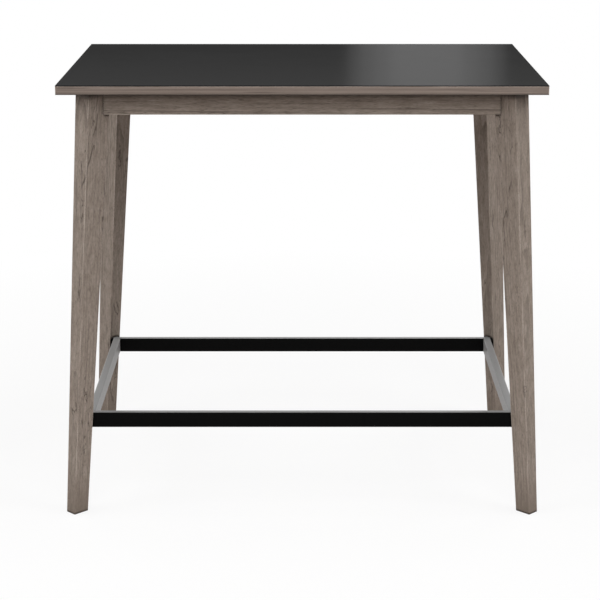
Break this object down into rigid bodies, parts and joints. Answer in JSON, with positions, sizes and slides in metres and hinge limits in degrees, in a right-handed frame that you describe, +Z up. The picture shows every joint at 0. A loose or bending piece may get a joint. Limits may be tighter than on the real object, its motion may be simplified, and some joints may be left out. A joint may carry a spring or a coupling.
{
  "type": "pub table",
  "caption": "Bar-height rectangular pub table with a black laminate top, splayed tapered wooden legs set diagonally, aprons and a black steel footrest ring.",
  "frame": {"origin": "on the floor, under the centre of the top", "axes": "+X along the table's length, +Y along its depth from the front to the back, +Z up"},
  "size_m": [1.17, 0.763, 1.0692],
  "materials": {
    "black_laminate": "satin high-pressure laminate",
    "particle_board": "raw particle board",
    "backing_sheet": "matt balancing sheet",
    "stained_wood": "grey-brown stain under matt lacquer, grain along each board",
    "bare_wood": "planed, unstained",
    "black_steel": "satin black powder coat",
    "black_screw": "black oxide",
    "zinc_steel": "zinc plated",
    "glide_nylon": "black nylon"
  },
  "bodies": {
    "root": {"top_laminate": "black_laminate", "top_core": "particle_board", "top_backer": "backing_sheet", "lipping_front": "stained_wood", "lipping_back": "stained_wood", "lipping_left": "stained_wood", "lipping_right": "stained_wood", "apron_front": "stained_wood", "apron_back": "stained_wood", "apron_left": "stained_wood", "apron_right": "stained_wood", "leg_front_left": "stained_wood", "leg_front_right": "stained_wood", "leg_back_left": "stained_wood", "leg_back_right": "stained_wood", "corner_block_front_left": "bare_wood", "corner_block_front_right": "bare_wood", "corner_block_back_left": "bare_wood", "corner_block_back_right": "bare_wood", "foot_glide_front_left": "glide_nylon", "foot_glide_front_right": "glide_nylon", "foot_glide_back_left": "glide_nylon", "foot_glide_back_right": "glide_nylon", "footrest_rail_front": "black_steel", "footrest_rail_back": "black_steel", "footrest_rail_left": "black_steel", "footrest_rail_right": "black_steel", "footrest_plate_front_left": "black_steel", "footrest_plate_front_right": "black_steel", "footrest_plate_back_left": "black_steel", "footrest_plate_back_right": "black_steel", "footrest_screws": "black_screw", "hanger_bolts": "zinc_steel", "hanger_washers": "zinc_steel", "hanger_nuts": "zinc_steel", "block_screws": "zinc_steel", "top_brackets": "zinc_steel", "bracket_screws": "zinc_steel", "top_screws": "zinc_steel"}
  },
  "joints": []
}
